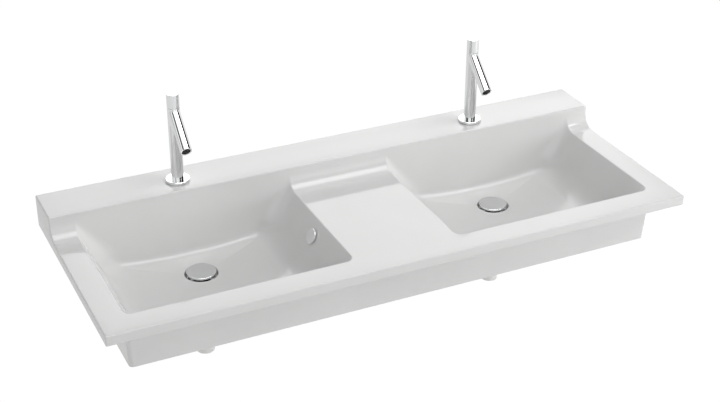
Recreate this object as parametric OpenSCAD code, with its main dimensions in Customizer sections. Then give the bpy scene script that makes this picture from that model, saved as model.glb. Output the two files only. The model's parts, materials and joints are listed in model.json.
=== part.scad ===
// Double vanity washbasin in glazed ceramic, with two pillar taps, two push wastes and two overflows.
// Millimetres, Z up. X runs along the wall, Y = 0 is the wall and -Y is the front.
// The origin is at the middle of the back, level with the top of the rim.

/* [Basin] */
// Overall width along the wall
basin_w = 1300; // [1240:5:1500]
// Depth from the wall to the front edge
basin_d = 500; // [485:5:560]
// Thickness of the rim slab
rim_t = 23; // [18:1:28]
// Height from the foot of the apron to the top of the rim
apron_h = 121.5; // [112:0.5:150]
// How far the apron stands back under the rim
apron_inset = 50; // [40:1:62]
// How much further in the foot of the apron is than its top
apron_draft = 5.5; // [0:0.5:10]
// Radius of the apron's upright corners
apron_corner_r = 10; // [8:1:40]
// Thickness of the ceramic walls
wall_t = 11; // [9:0.5:13]
// Radius of the outer edges
edge_r = 3; // [2:0.5:6]

/* [Tap deck] */
// Depth of the raised deck along the wall
deck_d = 107; // [100:1:120]
// Height of the deck above the rim
deck_h = 50; // [40:1:70]
// Thickness of the top of the deck
deck_t = 16; // [12:1:22]
// Radius of the hollow curve at the foot of the deck
deck_foot_r = 34; // [20:1:36]

/* [Bowls] */
// Width of each bowl opening
bowl_w = 479; // [460:1:490]
// Length of each bowl opening from back to front
bowl_l = 336; // [326:1:340]
// Width of the shelf between the two bowls
shelf_w = 234; // [220:2:260]
// Depth of the bowl at the drain
bowl_depth = 112; // [106:1:114]
// Depth of the bowl at the foot of its front wall
bowl_front_depth = 106; // [100:1:108]
// Depth of the fold between back wall and floor, in its middle
fold_depth = 104; // [98:1:106]
// Depth of the fold at its two ends
fold_end_depth = 95; // [90:1:98]
// Radius of the opening's corners
bowl_corner_r = 18; // [10:1:30]
// Slope of the side walls, from upright
side_angle = 27; // [20:1:32]
// Slope of the front wall, from upright
front_angle = 32; // [25:1:38]
// How far the foot of the back wall stands in front of its top
back_batter = 5; // [2:0.5:10]
// Radius between side walls and floor
floor_r = 65; // [50:1:72]
// Radius of the fold between back wall and floor
fold_r = 10; // [6:1:16]

/* [Wall fixing] */
// Distance between neighbouring wall holes
wall_hole_pitch = 300; // [280:5:310]
// Diameter of the wall holes
wall_hole_d = 16; // [12:1:20]
// Depth of the wall holes below the rim
wall_hole_drop = 40; // [34:1:60]

/* [Waste] */
// Distance from the front of the deck to the middle of the drain
drain_set = 78.5; // [72:0.5:90]
// Diameter of the recess round the drain cap
recess_d = 76; // [72:1:80]
// Depth of that recess
recess_depth = 12; // [11:0.5:14]
// Diameter of the drain hole
drain_hole_d = 46; // [44:0.5:48]
// Diameter of the drain boss under the bowl
boss_d = 80; // [76:1:90]
// Height of the boss below the recess
boss_h = 26; // [24:1:34]
// Diameter of the drain cap
plug_d = 64; // [60:0.5:66]
// Thickness of the drain cap
plug_t = 4.5; // [3.5:0.5:5]
// Travel of the drain cap from raised to shut
plug_travel = 8; // [6:0.5:9]
// Diameter of the waste flange
flange_d = 63; // [56:0.5:65]
// Thickness of the waste flange
flange_t = 2.5; // [2:0.5:3]
// Outer diameter of the threaded waste tube
waste_d = 41.9; // [41:0.1:42.5]
// Wall of the waste tube
waste_wall = 2.95; // [2:0.05:3.2]
// Length of the threaded waste tube under its flange
waste_len = 82; // [78:1:100]
// Diameter of the tail pipe
pipe_d = 40; // [38:0.5:40]
// Wall of the tail pipe
pipe_wall = 2; // [1.5:0.1:3]
// Length of the tail pipe
pipe_len = 102; // [60:1:150]

/* [Overflow] */
// Distance from the front of the deck to the middle of the overflow
overflow_set = 161; // [120:1:200]
// Depth of the overflow below the rim
overflow_drop = 34; // [30:1:38]
// Diameter of the overflow hole
overflow_hole_d = 25; // [22:0.5:26]
// Diameter of the overflow cap
overflow_cap_d = 34; // [30:0.5:36]
// Thickness of the overflow cap
overflow_cap_t = 2.4; // [1.5:0.1:3]
// Slot between the overflow cap and its sleeve
overflow_slot = 1.6; // [1.2:0.1:3]

/* [Tap] */
// Distance from the wall to the middle of the tap
tap_set = 61; // [56:1:66]
// Height of the tap above the deck
tap_h = 204.5; // [190:0.5:220]
// Diameter of the column and its knob
column_d = 27; // [26:0.5:30]
// Height of the knob
knob_h = 31; // [28:0.5:34]
// Gap between column and knob
seam = 0.4; // [0.3:0.1:0.8]
// Diameter of the spout
spout_d = 25; // [24:0.5:25.5]
// Distance from the column's axis to the middle of the outlet
spout_reach = 70.5; // [62:0.5:85]
// Height of the outlet above the deck
outlet_h = 100.5; // [85:0.5:108]
// How far under the knob the spout's axis starts
spout_drop = 8.6; // [7.6:0.1:14]
// How much more the outlet faces forward than the spout
outlet_tip = 12; // [0:1:14]
// Diameter of the flange round the foot of the column
rosette_d = 53; // [48:0.5:60]
// Thickness of that flange
rosette_t = 6; // [4:0.5:8]
// Diameter of the tap hole in the deck
tap_hole_d = 35; // [32:0.5:36]
// Diameter of the threaded shank through the deck
shank_d = 22; // [21.6:0.1:22.4]
// Diameter of the supply inlet at the foot of the shank
tail_d = 20.9; // [20:0.1:21]
// Length of the tail below the deck's top
tail_len = 80; // [70:1:90]

/* [Hidden] */
$fn = 72;
hull_fn = 32;
SIDES = [-1, 1];
PAIRED = [
    "tap_body", "tap_rosette", "tap_gasket", "tap_headwork", "tap_headwork_nut", "tap_spindle",
    "tap_knob", "tap_knob_screw", "tap_aerator", "tap_aerator_insert", "tap_tail",
    "tap_fixing_gasket", "tap_fixing_washer", "tap_back_nut", "plug_cap", "plug_seal", "plug_stem",
    "waste_click_unit", "waste_body", "waste_top_seal", "waste_under_seal", "waste_lock_nut",
    "waste_tail_nut", "waste_tail_pipe", "overflow_cap", "overflow_sleeve"
];

function suffix(s) = s < 0 ? "_left" : "_right";

// How far in from the opening's edge the centre of a floor radius lies, so that the wall is a tangent
function inset(angle, drop) = (floor_r + drop * sin(angle)) / cos(angle);

// Small overlap that makes cuts pass through a face
over = 1;
// Radial gap of a shaft that turns or slides in its hole, and of fixed round pieces in their seats
run_gap = 0.05;
// How far the hollow curve runs past its tangents, so that it meets both faces at an edge
foot_bite = 0.2;
// Gap between faces that move against each other
face_gap = 0.3;

bowl_x = shelf_w / 2 + bowl_w / 2;
bowl_y = -deck_d - bowl_l / 2;
back_x = bowl_w / 2 - inset(side_angle, fold_end_depth - floor_r);
front_x = bowl_w / 2 - inset(side_angle, bowl_front_depth - floor_r);
front_y = bowl_l / 2 - inset(front_angle, bowl_front_depth - floor_r);
drain_y = -deck_d - drain_set;
dish_r = recess_d / 2 + 6;
ledge_z = -bowl_depth - recess_depth;
boss_z = ledge_z - boss_h;
boss_plate_r = boss_d / 2 + 20;
fixing_count = 4;
groove_r = (drain_hole_d / 2 + boss_d / 2) / 2;
groove_h = 12;
groove_z = ledge_z - boss_h / 2;

waste_seal_t = 1;
flange_z = ledge_z + waste_seal_t;
flange_top = flange_z + flange_t;
bore_r = waste_d / 2 - waste_wall;
tube_end = flange_z - waste_len;
plug_z = flange_top + face_gap + plug_travel;
plug_edge_r = 0.8;
plug_hub_r = 8;
plug_hub_h = 4;
plug_seal_t = 3;
stem_r = 4;
stem_top = plug_z + 1.5;
bridge_drop = 23;
bridge_z = plug_z - plug_hub_h - plug_travel - bridge_drop;
bridge_t = 6;
bridge_hub_r = 11;
bridge_arm_w = 3;
latch_r = 8;
latch_head_r = 10;
latch_head_t = 2;
latch_len = 26;
latch_floor_t = 3;
latch_foot = bridge_z + latch_head_t - latch_len;
stem_end = latch_foot + 2 * latch_floor_t + plug_travel;
slot_w = 16;
slot_h = 10;
flange_edge_r = 0.8;
under_seal_t = 4;
seal_r = boss_d / 2 - 3;
seal_taper = 2;
lock_nut_r = boss_d / 2 - 8;
lock_nut_t = 10;
nut_r = waste_d / 2 + 5;
nut_grip = 15;
nut_lip = 9;
nut_end = tube_end - nut_lip;
groove_count = 12;
grip_groove_r = 1.6;
grip_groove_out = 0.6;
pipe_top = tube_end - face_gap;
neck_end = nut_end - 1;

overflow_x = shelf_w / 2 + overflow_drop * tan(side_angle);
sleeve_r = overflow_hole_d / 2 - run_gap;
sleeve_wall = 1.8;
sleeve_len = 22;
sleeve_lip_w = 2;
sleeve_lip_t = 1;
overflow_cap_z = sleeve_lip_t + overflow_slot;
overflow_stem_r = 3;
fin_t = 1.6;
fin_len = 11;

gasket_t = 1;
rosette_edge_r = 2;
column_r = column_d / 2;
column_top = tap_h - knob_h - seam;
spout_root_h = column_top - spout_drop;
spout_run = sqrt(pow(spout_reach, 2) + pow(spout_root_h - outlet_h, 2));
spout_tilt = atan2(spout_reach, spout_root_h - outlet_h);
spout_start = 4 - spout_run;
spout_tip_len = spout_d / 2 * tan(outlet_tip) + over;
spout_bore_r = 6.5;
aerator_r = spout_d / 2 - 1.9;
aerator_wall = 1;
aerator_len = 6;
insert_r = aerator_r - aerator_wall - run_gap;
insert_len = 4.5;
jet_r = 0.9;
waterway_r = 6;
shank_r = shank_d / 2;
shank_grip = 14;
tail_r = tail_d / 2;
chamber_r = column_r - 2.5;
chamber_h = 36;
headwork_z = column_top - chamber_h;
headwork_waist = 2.5;
headwork_collar_h = 13;
headwork_foot_h = 4;
port_r = 2.5;
port_z = headwork_z + 9;
inlet_r = 4.5;
inlet_h = 7;
spindle_r = 4;
spindle_z = headwork_z + 14;
spindle_top = tap_h - 9;
head_nut_t = 4;
knob_pocket_r = column_r - 2.5;
knob_pocket_h = 16;
knob_z = tap_h - knob_h;
knob_edge_r = 0.7;
screw_r = 2;
screw_z = tap_h - 13;
screw_len = column_r - spindle_r - 2 * run_gap - 0.8;
screw_key_r = 1.1;
screw_key_depth = 2;
washer_r = 22;
under_gasket_t = 3;
washer_t = 2;
back_nut_r = 17.5;
back_nut_t = 9;
washer_z = -deck_t - under_gasket_t;
back_nut_z = washer_z - washer_t;
shank_end = back_nut_z - back_nut_t - 4;

// A flat rounded rectangle about the origin
module rounded_rect(w, l, r) {
    square([w - 2 * r, l], center = true);
    square([w, l - 2 * r], center = true);
    for (x = SIDES, y = SIDES)
        translate([x * (w / 2 - r), y * (l / 2 - r)]) circle(r);
}

// A ring or tube between two heights
module ring(outer_r, inner_r, z0, z1) {
    difference() {
        translate([0, 0, z0]) cylinder(r = outer_r, h = z1 - z0);
        translate([0, 0, z0 - over]) cylinder(r = inner_r, h = z1 - z0 + 2 * over);
    }
}

// Half the outline of a round piece whose top edge is rounded, for turning
module soft_profile(outer_r, inner_r, z0, z1, round_r) {
    translate([inner_r, z0]) square([outer_r - inner_r, z1 - z0 - round_r]);
    translate([inner_r, z0]) square([outer_r - inner_r - round_r, z1 - z0]);
    translate([outer_r - round_r, z1 - round_r]) circle(round_r);
}

// A hexagon prism with a round hole
module hex_nut(corner_r, hole_r, z0, z1) {
    difference() {
        translate([0, 0, z0]) cylinder(r = corner_r, h = z1 - z0, $fn = 6);
        translate([0, 0, z0 - over]) cylinder(r = hole_r, h = z1 - z0 + 2 * over);
    }
}

// Places a child on the middle of a bowl's opening
module at_bowl(s) {
    translate([s * bowl_x, bowl_y, 0]) children();
}

// Places a child on a drain's axis
module at_drain(s) {
    translate([s * bowl_x, drain_y, 0]) children();
}

// Places a child on the deck at a tap's axis
module at_tap(s) {
    translate([s * bowl_x, -tap_set, deck_h]) children();
}

// The overflow's own frame: its Z axis points square out of the bowl's side wall
module at_overflow(s) {
    translate([s * overflow_x, -deck_d - overflow_set, -overflow_drop])
        rotate([0, s * (90 - side_angle), 0]) children();
}

// The spout's own frame: its origin is at the outlet and its Z axis runs along the spout
module at_spout() {
    translate([0, -spout_reach, outlet_h]) rotate([180 - spout_tilt, 0, 0]) children();
}

// The outlet's own frame: its Z axis points square out of the mouth
module at_outlet() {
    translate([0, -spout_reach, outlet_h])
        rotate([180 - spout_tilt - outlet_tip, 0, 0]) children();
}

// A block along the wall between two heights, with its ends, front and top rounded
module long_block(front, back, z0, z1) {
    intersection() {
        translate([0, back, (z0 + z1) / 2]) rotate([90, 0, 0]) linear_extrude(back - front)
            rounded_rect(basin_w, z1 - z0, edge_r);
        translate([-basin_w / 2, 0, 0]) rotate([90, 0, 90]) linear_extrude(basin_w) {
            translate([front + edge_r, z0]) square([back - front - edge_r, z1 - z0]);
            translate([front, z0 + edge_r]) square([edge_r + over, z1 - z0 - 2 * edge_r]);
            for (z = [z0 + edge_r, z1 - edge_r]) translate([front + edge_r, z]) circle(edge_r);
        }
    }
}

// The rim slab in front of the deck
module rim_slab() {
    long_block(-basin_d, -deck_d, -rim_t, 0);
}

// The raised deck along the wall, with a square foot below the rim
module deck_block() {
    long_block(-deck_d, 0, -rim_t, deck_h);
    translate([edge_r - basin_w / 2, -deck_d, -rim_t])
        cube([basin_w - 2 * edge_r, 2 * edge_r, rim_t]);
}

// The hollow curve between deck and rim
module deck_foot(x0, x1) {
    translate([x0, -deck_d, 0]) rotate([90, 0, 90]) linear_extrude(x1 - x0) difference() {
        translate([-deck_foot_r, -over]) square([deck_foot_r + over, deck_foot_r + over]);
        translate([-deck_foot_r, deck_foot_r]) circle(deck_foot_r + foot_bite);
    }
}

// The apron as a solid block that tapers to its foot
module apron_block() {
    hull() for (level = [[2 * over - rim_t, 0], [over - apron_h, apron_draft]]) {
        half_w = basin_w / 2 - apron_inset - level[1];
        front = basin_d - apron_inset - level[1];
        for (s = SIDES) {
            translate([s * (half_w - apron_corner_r), apron_corner_r - front, level[0] - over])
                cylinder(r = apron_corner_r, h = over, $fn = hull_fn);
            translate([s * (half_w - over / 2) - over / 2, -over, level[0] - over])
                cube([over, over, over]);
        }
    }
}

// The space inside the apron and under the deck, before the bowls are set into it
module under_space() {
    half_w = basin_w / 2 - apron_inset - apron_draft - wall_t;
    front = basin_d - apron_inset - apron_draft - wall_t;
    translate([0, -(front + wall_t) / 2, -apron_h - over])
        linear_extrude(apron_h - rim_t + over)
            rounded_rect(2 * half_w, front - wall_t, apron_corner_r - wall_t / 2);
    translate([-half_w, wall_t - deck_d, -rim_t - over])
        cube([2 * half_w, deck_d - 2 * wall_t, rim_t + deck_h - deck_t + over]);
}

// The form of a bowl: its inside, or with grow its outside
module bowl_form(grow) {
    lap = grow > 0 ? 2 * over : 0;
    hull() {
        translate([0, 0, -over]) linear_extrude(grow > 0 ? over / 2 : 2 * over)
            rounded_rect(bowl_w + 2 * grow - lap, bowl_l + 2 * grow - lap, bowl_corner_r + grow,
                         $fn = hull_fn);
        for (x = [-1, 0, 1])
            translate([x * back_x, bowl_l / 2 - back_batter - fold_r,
                       floor_r - (x == 0 ? fold_depth : fold_end_depth)])
                rotate([90, 0, 0]) rotate_extrude($fn = hull_fn)
                    translate([floor_r - fold_r, 0]) circle(fold_r + grow, $fn = 16);
        for (x = SIDES)
            translate([x * front_x, -front_y, floor_r - bowl_front_depth])
                sphere(floor_r + grow, $fn = hull_fn);
        translate([0, drain_y - bowl_y, -bowl_depth - grow])
            cylinder(r = dish_r, h = over, $fn = hull_fn);
    }
}

// Everything that is cut away for one bowl
module bowl_cuts(s) {
    at_bowl(s) bowl_form(0);
    at_drain(s) {
        translate([0, 0, ledge_z]) cylinder(d = recess_d, h = recess_depth + over);
        translate([0, 0, boss_z - over]) cylinder(d = drain_hole_d, h = boss_h + 2 * over);
        translate([0, 0, groove_z - groove_h / 2]) cylinder(r = groove_r, h = groove_h);
    }
    at_overflow(s) translate([0, 0, -3 * wall_t])
        cylinder(d = overflow_hole_d, h = 4 * wall_t);
    at_tap(s) translate([0, 0, -deck_t - over]) cylinder(d = tap_hole_d, h = deck_t + 2 * over);
}

// The thick plate and the boss under each drain
module drain_boss() {
    translate([0, 0, ledge_z - wall_t])
        cylinder(r = boss_plate_r, h = bowl_depth - fold_end_depth + recess_depth + wall_t);
    translate([0, 0, boss_z]) cylinder(d = boss_d, h = boss_h);
}

// The holes for the wall bolts, in a row through the back
module wall_holes() {
    for (i = [0 : fixing_count - 1])
        translate([(i - (fixing_count - 1) / 2) * wall_hole_pitch, over, -wall_hole_drop])
            rotate([90, 0, 0]) cylinder(d = wall_hole_d, h = wall_t + 2 * over);
}

// Ceramic basin: slab, deck, apron, bowls and drain bosses in one casting
module basin() {
    color("white") difference() {
        union() {
            difference() {
                union() {
                    rim_slab();
                    deck_block();
                    deck_foot(-shelf_w / 2, shelf_w / 2);
                    deck_foot(edge_r - basin_w / 2, -shelf_w / 2 - bowl_w);
                    deck_foot(shelf_w / 2 + bowl_w, basin_w / 2 - edge_r);
                    apron_block();
                }
                difference() {
                    under_space();
                    for (s = SIDES) at_bowl(s) bowl_form(wall_t);
                }
            }
            for (s = SIDES) at_drain(s) drain_boss();
        }
        for (s = SIDES) bowl_cuts(s);
        wall_holes();
    }
}

// Chrome column with its spout and the water's way through both
module tap_body() {
    color("silver") difference() {
        union() {
            translate([0, 0, gasket_t]) cylinder(r = column_r, h = column_top - gasket_t);
            at_spout() translate([0, 0, spout_start])
                cylinder(d = spout_d, h = spout_tip_len - spout_start);
        }
        translate([0, 0, headwork_z]) cylinder(r = chamber_r, h = chamber_h + over);
        translate([0, 0, gasket_t]) cylinder(r = waterway_r, h = column_top);
        cylinder(r = shank_r + run_gap, h = shank_grip);
        at_spout() translate([0, 0, column_r - spout_run])
            cylinder(r = spout_bore_r, h = spout_run);
        at_outlet() {
            cylinder(r = spout_d, h = spout_d);
            translate([0, 0, -aerator_len]) cylinder(r = aerator_r, h = aerator_len + over);
        }
    }
}

// Chrome flange round the foot of the column
module tap_rosette() {
    color("silver") rotate_extrude()
        soft_profile(rosette_d / 2, column_r + run_gap, gasket_t, gasket_t + rosette_t,
                     rosette_edge_r);
}

// Seal between the tap and the deck
module tap_gasket() {
    color("dimgray") ring(rosette_d / 2 - 1, shank_r + 2 * run_gap, 0, gasket_t);
}

// Quarter-turn valve that screws into the top of the column
module tap_headwork() {
    seat_r = chamber_r - run_gap;
    color("goldenrod") difference() {
        union() {
            translate([0, 0, headwork_z]) cylinder(r = seat_r - headwork_waist, h = chamber_h);
            translate([0, 0, column_top - headwork_collar_h])
                cylinder(r = seat_r, h = headwork_collar_h);
            translate([0, 0, headwork_z]) cylinder(r = seat_r, h = headwork_foot_h);
        }
        translate([0, 0, spindle_z - face_gap])
            cylinder(r = spindle_r + run_gap, h = chamber_h);
        translate([0, 0, headwork_z - over]) cylinder(r = inlet_r, h = inlet_h + over);
        for (a = [0, 90])
            translate([0, 0, port_z]) rotate([90, 0, a])
                cylinder(r = port_r, h = 3 * chamber_r, center = true);
    }
}

// Ring nut on the headwork, inside the knob
module tap_headwork_nut() {
    color("goldenrod")
        hex_nut(knob_pocket_r - 1, spindle_r + 2 * run_gap, column_top, column_top + head_nut_t);
}

// Spindle that the knob turns
module tap_spindle() {
    color("goldenrod") translate([0, 0, spindle_z])
        cylinder(r = spindle_r, h = spindle_top - spindle_z);
}

// Cylindrical knob over the headwork
module tap_knob() {
    color("silver") difference() {
        rotate_extrude() soft_profile(column_r, 0, knob_z, tap_h, knob_edge_r);
        translate([0, 0, knob_z - over]) cylinder(r = knob_pocket_r, h = knob_pocket_h + over);
        translate([0, 0, knob_z]) cylinder(r = spindle_r + run_gap, h = spindle_top - knob_z);
        translate([0, 0, screw_z]) rotate([-90, 0, 0])
            cylinder(r = screw_r + run_gap, h = column_r + over);
    }
}

// Set screw at the back of the knob
module tap_knob_screw() {
    color("gray") translate([0, spindle_r + run_gap, screw_z]) rotate([-90, 0, 0]) difference() {
        cylinder(r = screw_r, h = screw_len);
        translate([0, 0, screw_len - screw_key_depth])
            cylinder(r = screw_key_r, h = screw_key_depth + over, $fn = 6);
    }
}

// Chrome ring in the mouth of the spout
module tap_aerator() {
    color("silver") at_outlet()
        ring(aerator_r - run_gap, aerator_r - aerator_wall, -aerator_len, 0);
}

// Dark flow former with its water holes
module tap_aerator_insert() {
    color("dimgray") at_outlet() difference() {
        translate([0, 0, 1 - aerator_len]) cylinder(r = insert_r, h = insert_len);
        for (turn = [0 : 60 : 300], row = [1, 2])
            rotate([0, 0, turn + 30 * row])
                translate([row * insert_r / 3, 0, -aerator_len])
                    cylinder(r = jet_r, h = aerator_len);
        translate([0, 0, -aerator_len]) cylinder(r = jet_r, h = aerator_len);
    }
}

// Threaded shank through the deck, with the thinner supply inlet at its foot
module tap_tail() {
    color("goldenrod") difference() {
        union() {
            translate([0, 0, shank_end]) cylinder(r = shank_r, h = shank_grip - shank_end);
            translate([0, 0, -tail_len]) cylinder(r = tail_r, h = tail_len);
        }
        translate([0, 0, -tail_len - over])
            cylinder(r = waterway_r, h = tail_len + shank_grip + 2 * over);
    }
}

// Rubber ring between the deck's underside and the washer
module tap_fixing_gasket() {
    color("dimgray") ring(washer_r + 2, shank_r + 2 * run_gap, washer_z, -deck_t);
}

// Steel washer over that ring
module tap_fixing_washer() {
    color("silver") ring(washer_r, shank_r + 2 * run_gap, back_nut_z, washer_z);
}

// Nut that clamps the tap from below
module tap_back_nut() {
    color("goldenrod")
        hex_nut(back_nut_r, shank_r + run_gap, back_nut_z - back_nut_t, back_nut_z);
}

// Drain cap with the hub that its stem screws into
module plug_cap() {
    color("silver") difference() {
        union() {
            rotate_extrude() soft_profile(plug_d / 2, 0, plug_z, plug_z + plug_t, plug_edge_r);
            translate([0, 0, plug_z - plug_hub_h])
                cylinder(r = plug_hub_r, h = plug_hub_h + over);
        }
        translate([0, 0, plug_z - plug_hub_h - over])
            cylinder(r = stem_r + run_gap, h = stem_top - plug_z + plug_hub_h + over);
    }
}

// Rubber ring under the cap, which shuts the waste when the cap is down
module plug_seal() {
    color("dimgray")
        ring(bore_r - 2 * face_gap, plug_hub_r + run_gap, plug_z - plug_seal_t, plug_z);
}

// Stem between the cap and the latch
module plug_stem() {
    color("silver") translate([0, 0, stem_end]) cylinder(r = stem_r, h = stem_top - stem_end);
}

// Latch that holds the stem up or down
module waste_click_unit() {
    color("gray") difference() {
        union() {
            translate([0, 0, bridge_z]) cylinder(r = latch_head_r, h = latch_head_t);
            translate([0, 0, latch_foot]) cylinder(r = latch_r, h = latch_len);
        }
        translate([0, 0, latch_foot + latch_floor_t])
            cylinder(r = stem_r + run_gap, h = latch_len);
    }
}

// The spoked bridge across the waste that carries the latch
module waste_bridge() {
    translate([0, 0, bridge_z - bridge_t]) cylinder(r = bridge_hub_r, h = bridge_t);
    for (a = [0 : 120 : 240]) rotate([0, 0, a])
        translate([-bridge_arm_w / 2, 0, bridge_z - bridge_t])
            cube([bridge_arm_w, bore_r + 1, bridge_t]);
}

// Flange and threaded tube, with the slots that take in the overflow's water
module waste_body() {
    color("silver") difference() {
        union() {
            difference() {
                union() {
                    rotate_extrude()
                        soft_profile(flange_d / 2, 0, flange_z, flange_top, flange_edge_r);
                    translate([0, 0, tube_end]) cylinder(d = waste_d, h = waste_len + over);
                }
                translate([0, 0, tube_end - over])
                    cylinder(r = bore_r, h = waste_len + flange_t + 2 * over);
            }
            waste_bridge();
        }
        translate([0, 0, bridge_z - bridge_t - over])
            cylinder(r = latch_r + run_gap, h = bridge_t + 2 * over);
        for (s = SIDES) rotate([0, 0, s * 90])
            translate([-slot_w / 2, bore_r - 2, groove_z - slot_h / 2])
                cube([slot_w, waste_wall + 4, slot_h]);
    }
}

// Thin seal under the flange
module waste_top_seal() {
    color("dimgray") ring(flange_d / 2 - 1, waste_d / 2 + run_gap, ledge_z, flange_z);
}

// Tapered rubber ring under the boss
module waste_under_seal() {
    seal_z = boss_z - under_seal_t;
    hole_r = waste_d / 2 + run_gap;
    color("dimgray") rotate_extrude()
        polygon([[hole_r, seal_z], [seal_r - seal_taper, seal_z], [seal_r, boss_z], [hole_r, boss_z]]);
}

// Nut that clamps the waste from below
module waste_lock_nut() {
    nut_top = boss_z - under_seal_t;
    color("goldenrod")
        hex_nut(lock_nut_r, waste_d / 2 + run_gap, nut_top - lock_nut_t, nut_top);
}

// Union nut that holds the pipe on the end of the waste
module waste_tail_nut() {
    color("whitesmoke") difference() {
        ring(nut_r, waste_d / 2 + run_gap, nut_end, tube_end + nut_grip);
        for (i = [1 : groove_count]) rotate([0, 0, i * 360 / groove_count])
            translate([nut_r + grip_groove_out, 0, nut_end - over])
                cylinder(r = grip_groove_r, h = nut_grip + nut_lip + 2 * over, $fn = 24);
    }
}

// Tail pipe with a thicker neck inside the union nut
module waste_tail_pipe() {
    color("ivory") difference() {
        union() {
            translate([0, 0, neck_end]) cylinder(d = waste_d, h = pipe_top - neck_end);
            translate([0, 0, pipe_top - pipe_len]) cylinder(d = pipe_d, h = pipe_len);
        }
        translate([0, 0, pipe_top - pipe_len - over])
            cylinder(r = pipe_d / 2 - pipe_wall, h = pipe_len + 2 * over);
    }
}

// Cap held before the overflow hole by a stem and three fins
module overflow_cap() {
    stem_len = fin_len + overflow_cap_z + over;
    color("silver") {
        rotate_extrude()
            soft_profile(overflow_cap_d / 2, 0, overflow_cap_z, overflow_cap_z + overflow_cap_t, 1);
        translate([0, 0, -fin_len]) cylinder(r = overflow_stem_r, h = stem_len);
        for (a = [0 : 120 : 240]) rotate([0, 0, a]) translate([-fin_t / 2, 0, -fin_len])
            cube([fin_t, sleeve_r - sleeve_wall - run_gap, stem_len]);
    }
}

// Sleeve that lines the overflow hole
module overflow_sleeve() {
    color("whitesmoke") difference() {
        union() {
            translate([0, 0, -sleeve_len]) cylinder(r = sleeve_r, h = sleeve_len + sleeve_lip_t);
            cylinder(r = sleeve_r + sleeve_lip_w, h = sleeve_lip_t);
        }
        translate([0, 0, -sleeve_len - over])
            cylinder(r = sleeve_r - sleeve_wall, h = sleeve_len + 2 * over + sleeve_lip_t);
    }
}

basin();
for (s = SIDES) {
    at_tap(s) tap_body();
    at_tap(s) tap_rosette();
    at_tap(s) tap_gasket();
    at_tap(s) tap_headwork();
    at_tap(s) tap_headwork_nut();
    at_tap(s) tap_spindle();
    at_tap(s) tap_knob();
    at_tap(s) tap_knob_screw();
    at_tap(s) tap_aerator();
    at_tap(s) tap_aerator_insert();
    at_tap(s) tap_tail();
    at_tap(s) tap_fixing_gasket();
    at_tap(s) tap_fixing_washer();
    at_tap(s) tap_back_nut();
    at_drain(s) plug_cap();
    at_drain(s) plug_seal();
    at_drain(s) plug_stem();
    at_drain(s) waste_click_unit();
    at_drain(s) waste_body();
    at_drain(s) waste_top_seal();
    at_drain(s) waste_under_seal();
    at_drain(s) waste_lock_nut();
    at_drain(s) waste_tail_nut();
    at_drain(s) waste_tail_pipe();
    at_overflow(s) overflow_cap();
    at_overflow(s) overflow_sleeve();
}
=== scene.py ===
"""Double vanity washbasin in white glazed ceramic with chrome taps, wastes and overflow caps."""
import json
import math

import bmesh
import bpy
import numpy as np
from mathutils import Matrix, Vector


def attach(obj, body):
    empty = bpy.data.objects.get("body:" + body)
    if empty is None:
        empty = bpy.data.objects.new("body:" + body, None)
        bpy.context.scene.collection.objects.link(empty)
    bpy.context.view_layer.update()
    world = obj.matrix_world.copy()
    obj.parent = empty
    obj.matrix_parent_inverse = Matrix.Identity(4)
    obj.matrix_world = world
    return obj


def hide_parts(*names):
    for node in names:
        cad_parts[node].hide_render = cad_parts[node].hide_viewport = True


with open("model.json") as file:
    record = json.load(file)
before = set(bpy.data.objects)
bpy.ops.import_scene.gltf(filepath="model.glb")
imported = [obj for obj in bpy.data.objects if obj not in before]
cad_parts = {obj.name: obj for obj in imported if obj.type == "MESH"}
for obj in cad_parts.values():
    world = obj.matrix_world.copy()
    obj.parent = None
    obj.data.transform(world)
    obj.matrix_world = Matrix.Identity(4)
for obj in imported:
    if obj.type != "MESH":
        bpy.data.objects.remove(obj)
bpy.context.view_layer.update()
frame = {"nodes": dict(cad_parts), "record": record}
NODES = frame["nodes"]
MM = 0.001


# Sizes of the ceramic in millimetres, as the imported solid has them
HALF_W, DEPTH, RIM_T, DECK_D, DECK_H = 650.0, 500.0, 23.0, 107.0, 50.0
EDGE_R, FOOT_R = 3.0, 34.0
APRON_X, APRON_Y, APRON_Z, APRON_DRAFT, APRON_CORNER = 600.0, -450.0, -121.5, 5.5, 10.0
WALL = 11.0
BOWL_X, BOWL_HALF, BOWL_L, CORNER_R = 356.5, 239.5, 336.0, 18.0
DRAIN_Y, DRAIN_Z, LEDGE_Z = -185.5, -112.0, -124.0
SIDE_SLOPE, FRONT_SLOPE, FLOOR_SLOPE = math.radians(27), math.radians(32), math.radians(3)
SIDE_DEPTH, FRONT_DEPTH, BACK_DEPTH = 100.0, 106.0, 104.0
TAP_Y = -61.0
OVERFLOW_X, OVERFLOW_Y, OVERFLOW_Z, OVERFLOW_TILT = 134.324, -268.0, -34.0, math.radians(63)
OVERFLOW_HOLE_X = 134.32
WALL_HOLE_PITCH, WALL_HOLE_Z = 300.0, -40.0
SIDES = (-1, 1)
CRISP_ANGLE = math.radians(33)
WELD = 0.002


def side_name(s):
    return "left" if s < 0 else "right"


# ---------------------------------------------------------------- mesh helpers

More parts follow.
